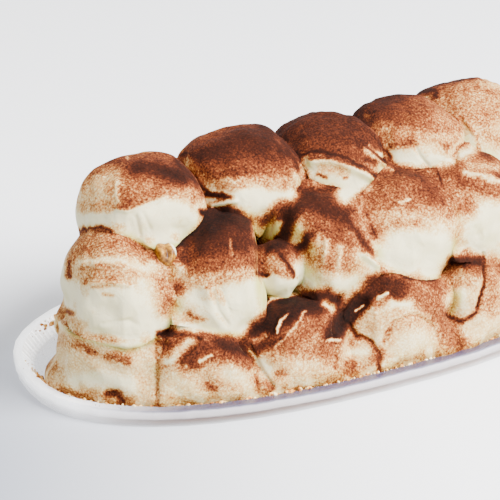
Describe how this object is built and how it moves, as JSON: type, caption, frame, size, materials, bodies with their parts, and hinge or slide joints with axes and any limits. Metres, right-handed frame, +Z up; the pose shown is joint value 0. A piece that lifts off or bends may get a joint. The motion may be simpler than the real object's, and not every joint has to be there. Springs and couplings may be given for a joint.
{
  "type": "profiteroles on a tray",
  "caption": "Oval pile of cream-coated profiteroles in three tiers, dusted with cocoa, on a shallow clear plastic tray.",
  "frame": {"origin": "middle of the tray's outline, on the surface that it stands on", "axes": "+X along the tray, +Z up, the front of the pile faces -Y"},
  "size_m": [0.273, 0.142, 0.1],
  "materials": {
    "dark_coat": "cream under a thick dust of cocoa",
    "brown_coat": "cream dusted with cocoa",
    "light_coat": "cream with a little cocoa",
    "choux_pastry": "baked golden",
    "clear_plastic": "thin clear sheet"
  },
  "bodies": {
    "root": {"tray": "clear_plastic", "base_front_1": "light_coat", "base_front_2": "light_coat", "base_front_3": "light_coat", "base_front_4": "light_coat", "base_front_5": "light_coat", "base_front_6": "light_coat", "base_back_1": "light_coat", "base_back_2": "light_coat", "base_back_3": "light_coat", "base_back_4": "light_coat", "base_back_5": "light_coat", "base_back_6": "light_coat", "middle_front_1": "brown_coat", "middle_front_2": "brown_coat", "middle_front_3": "brown_coat", "middle_front_4": "brown_coat", "middle_front_5": "brown_coat", "middle_back_1": "brown_coat", "middle_back_2": "brown_coat", "middle_back_3": "brown_coat", "middle_back_4": "brown_coat", "middle_back_5": "brown_coat", "top_1": "dark_coat", "top_2": "dark_coat", "top_3": "dark_coat", "top_4": "dark_coat", "top_5": "dark_coat", "small_puff": "brown_coat", "bare_pastry": "choux_pastry"}
  },
  "joints": []
}
